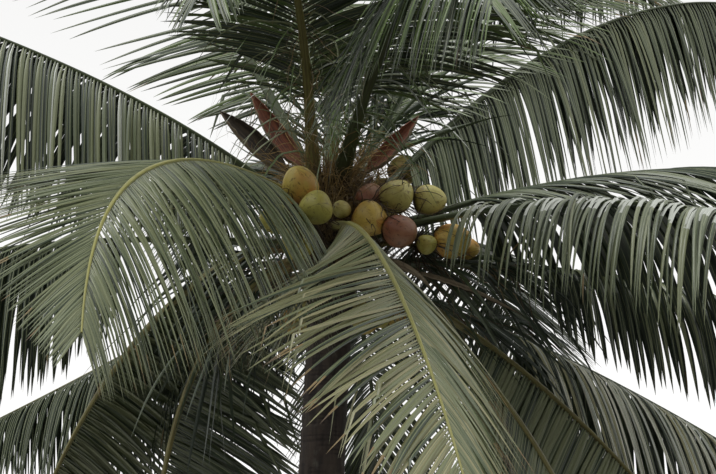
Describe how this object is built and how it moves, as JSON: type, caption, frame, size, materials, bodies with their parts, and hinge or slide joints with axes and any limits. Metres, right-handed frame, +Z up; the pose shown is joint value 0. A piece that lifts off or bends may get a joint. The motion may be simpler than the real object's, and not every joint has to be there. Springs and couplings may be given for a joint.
{
  "type": "coconut palm tree",
  "caption": "Coconut palm in fruit: one leaning trunk with a flared foot, a crown of feathered fronds that arch and hang, green and yellow nuts in bunches, and dry woody sheaths.",
  "frame": {"origin": "middle of the flat cut under the trunk, at ground level", "axes": "+Z up, +X to the right of the picture, -Y towards the camera"},
  "size_m": [8.9496, 8.4701, 11.2474],
  "materials": {
    "bark": "rough, ringed, grey-brown bark",
    "leaf": "leathery green leaflets with a soft sheen, yellow-green ribs",
    "nut": "smooth waxy husk, yellow-green to red-brown",
    "sheath": "dry ribbed red-brown to black sheath"
  },
  "bodies": {
    "root": {"trunk": "bark", "spear_leaf": "leaf", "frond_front": "leaf", "frond_front_left": "leaf", "frond_overhead_front": "leaf", "frond_overhead_right": "leaf", "frond_right_arching": "leaf", "frond_left_upper": "leaf", "frond_right_level": "leaf", "frond_right_swept": "leaf", "frond_right_lower": "leaf", "frond_left_level": "leaf", "frond_left_low": "leaf", "frond_right_low": "leaf", "frond_hanging_left": "leaf", "frond_hanging_back": "leaf", "frond_back_right_low": "leaf", "frond_hanging_right": "leaf", "frond_upright_left": "leaf", "frond_upright_right": "leaf", "frond_upright_back": "leaf", "frond_back_rising": "leaf", "frond_back_right": "leaf", "frond_back_level": "leaf", "bunch_left": "nut", "bunch_front": "nut", "bunch_right": "nut", "bunch_far_right": "nut", "bunch_high_right": "nut", "bunch_back_right": "nut", "bunch_back": "nut", "sheath_left_dark": "sheath", "sheath_left_red": "sheath", "sheath_right_red": "sheath", "sheath_front_small": "sheath", "sheath_hanging": "sheath", "sheath_dry": "sheath"}
  },
  "joints": []
}
